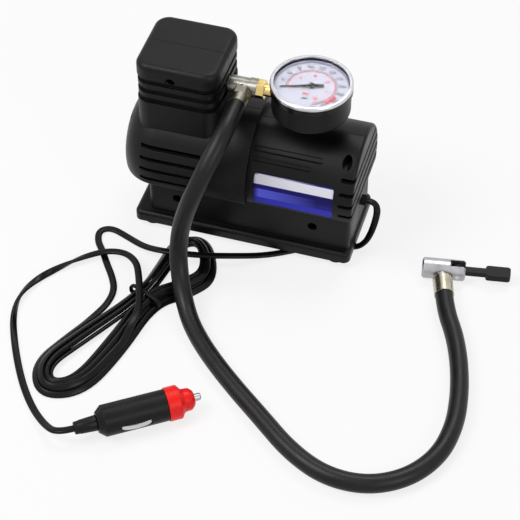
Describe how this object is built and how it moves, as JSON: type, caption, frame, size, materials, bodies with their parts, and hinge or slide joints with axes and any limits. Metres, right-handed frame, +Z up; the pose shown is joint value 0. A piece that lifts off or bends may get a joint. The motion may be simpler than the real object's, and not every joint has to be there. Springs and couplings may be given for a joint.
{
  "type": "portable tire inflator",
  "caption": "Mini 12 V air compressor: motor and piston in a split housing with a dial gauge, hose with lever chuck and a hanked cord with plug.",
  "frame": {"origin": "centre of the housing's base on the floor, without the cord and hose", "axes": "+X along the motor's axis to the vented end, +Y to the rear, +Z up"},
  "size_m": [0.2996, 0.2588, 0.1361],
  "materials": {
    "housing_plastic": "fine moulded grain",
    "rubber_black": "matt",
    "steel_zinc": "zinc plated",
    "steel_dark": "blackened",
    "can_steel": "plated",
    "magnet": "ferrite",
    "copper": "machined",
    "nylon": "moulded",
    "cast_alloy": "cast",
    "seal": "smooth",
    "brass": "turned",
    "chrome": "plated",
    "lens": "clear",
    "dial_white": "printed",
    "needle_black": "gloss",
    "hose_rubber": "satin",
    "cord_pvc": "satin",
    "plug_black": "satin",
    "red_plastic": "gloss"
  },
  "bodies": {
    "inflator": {"housing_front": "housing_plastic", "housing_rear": "housing_plastic", "rubber_feet": "rubber_black", "housing_screws": "steel_dark", "motor_can": "can_steel", "motor_end_cap": "plug_black", "motor_magnets": "magnet", "gear_axle": "steel_zinc", "gear_frame": "steel_zinc", "frame_screws": "steel_zinc", "cylinder": "cast_alloy", "head_gasket": "seal", "cylinder_head": "cast_alloy", "outlet_valve": "steel_zinc", "head_screws": "steel_zinc", "tee_fitting": "chrome", "gauge_stem": "brass", "gauge_case": "housing_plastic", "gauge_bezel": "chrome", "gauge_lens": "lens", "gauge_dial": "dial_white", "bourdon_tube": "brass", "gauge_movement": "brass", "hose_ferrule_upper": "chrome", "hose": "hose_rubber", "hose_ferrule_lower": "chrome", "chuck_collar": "plug_black", "chuck_body": "chrome", "chuck_seal": "seal", "valve_pin": "brass", "lever_pin": "steel_zinc", "cord_gland": "rubber_black", "cord_lead": "cord_pvc", "cord_hank": "cord_pvc", "cord_tie": "cord_pvc", "cord_tail": "cord_pvc", "plug_relief": "plug_black", "plug_body": "plug_black", "plug_contacts": "steel_zinc", "plug_nose": "red_plastic", "plug_fuse": "steel_zinc", "switch_body": "plug_black"},
    "rotor": {"rotor_core": "steel_zinc", "motor_shaft": "steel_zinc", "commutator": "copper", "pinion": "brass"},
    "crank": {"crank_gear": "nylon"},
    "piston": {"piston_rod": "cast_alloy", "piston_seal": "seal", "seal_retainer": "cast_alloy", "crank_pin": "steel_zinc"},
    "needle": {"gauge_needle": "needle_black"},
    "rocker": {"switch_rocker": "plug_black"},
    "lever": {"chuck_lever": "plug_black"},
    "centre_contact": {"plug_tip": "steel_zinc"}
  },
  "joints": [
    {"name": "rotor_spin", "type": "hinge", "parent": "inflator", "child": "rotor", "pos_m": [0, 0, 0.043], "axis": [1, 0, 0], "continuous": true},
    {"name": "crank_spin", "type": "hinge", "parent": "inflator", "child": "crank", "pos_m": [-0.025, 0, 0.0662], "axis": [1, 0, 0], "continuous": true},
    {"name": "piston_stroke", "type": "slide", "parent": "inflator", "child": "piston", "axis": [0, 0, 1], "range_m": [0, 0.013]},
    {"name": "needle_turn", "type": "hinge", "parent": "inflator", "child": "needle", "pos_m": [0.0407, 0, 0.123], "axis": [0, 0, -1], "range_deg": [0, 270]},
    {"name": "rocker_tilt", "type": "hinge", "parent": "inflator", "child": "rocker", "pos_m": [0.044, 0.0313, 0.062], "axis": [0, 0, -1], "range_deg": [0, 18]},
    {"name": "lever_flip", "type": "hinge", "parent": "inflator", "child": "lever", "pos_m": [0.14589, -0.01754, 0.007], "axis": [0.1633, -0.9866, 0], "range_deg": [0, 90]},
    {"name": "tip_press", "type": "slide", "parent": "inflator", "child": "centre_contact", "axis": [-0.8181, -0.575, 0], "range_m": [0, 0.003], "stiffness_N_per_m": 600, "springref_m": -0.002}
  ],
  "couplings": [
    {"joint": "crank_spin", "follows": "rotor_spin", "ratio": -0.20833}
  ]
}
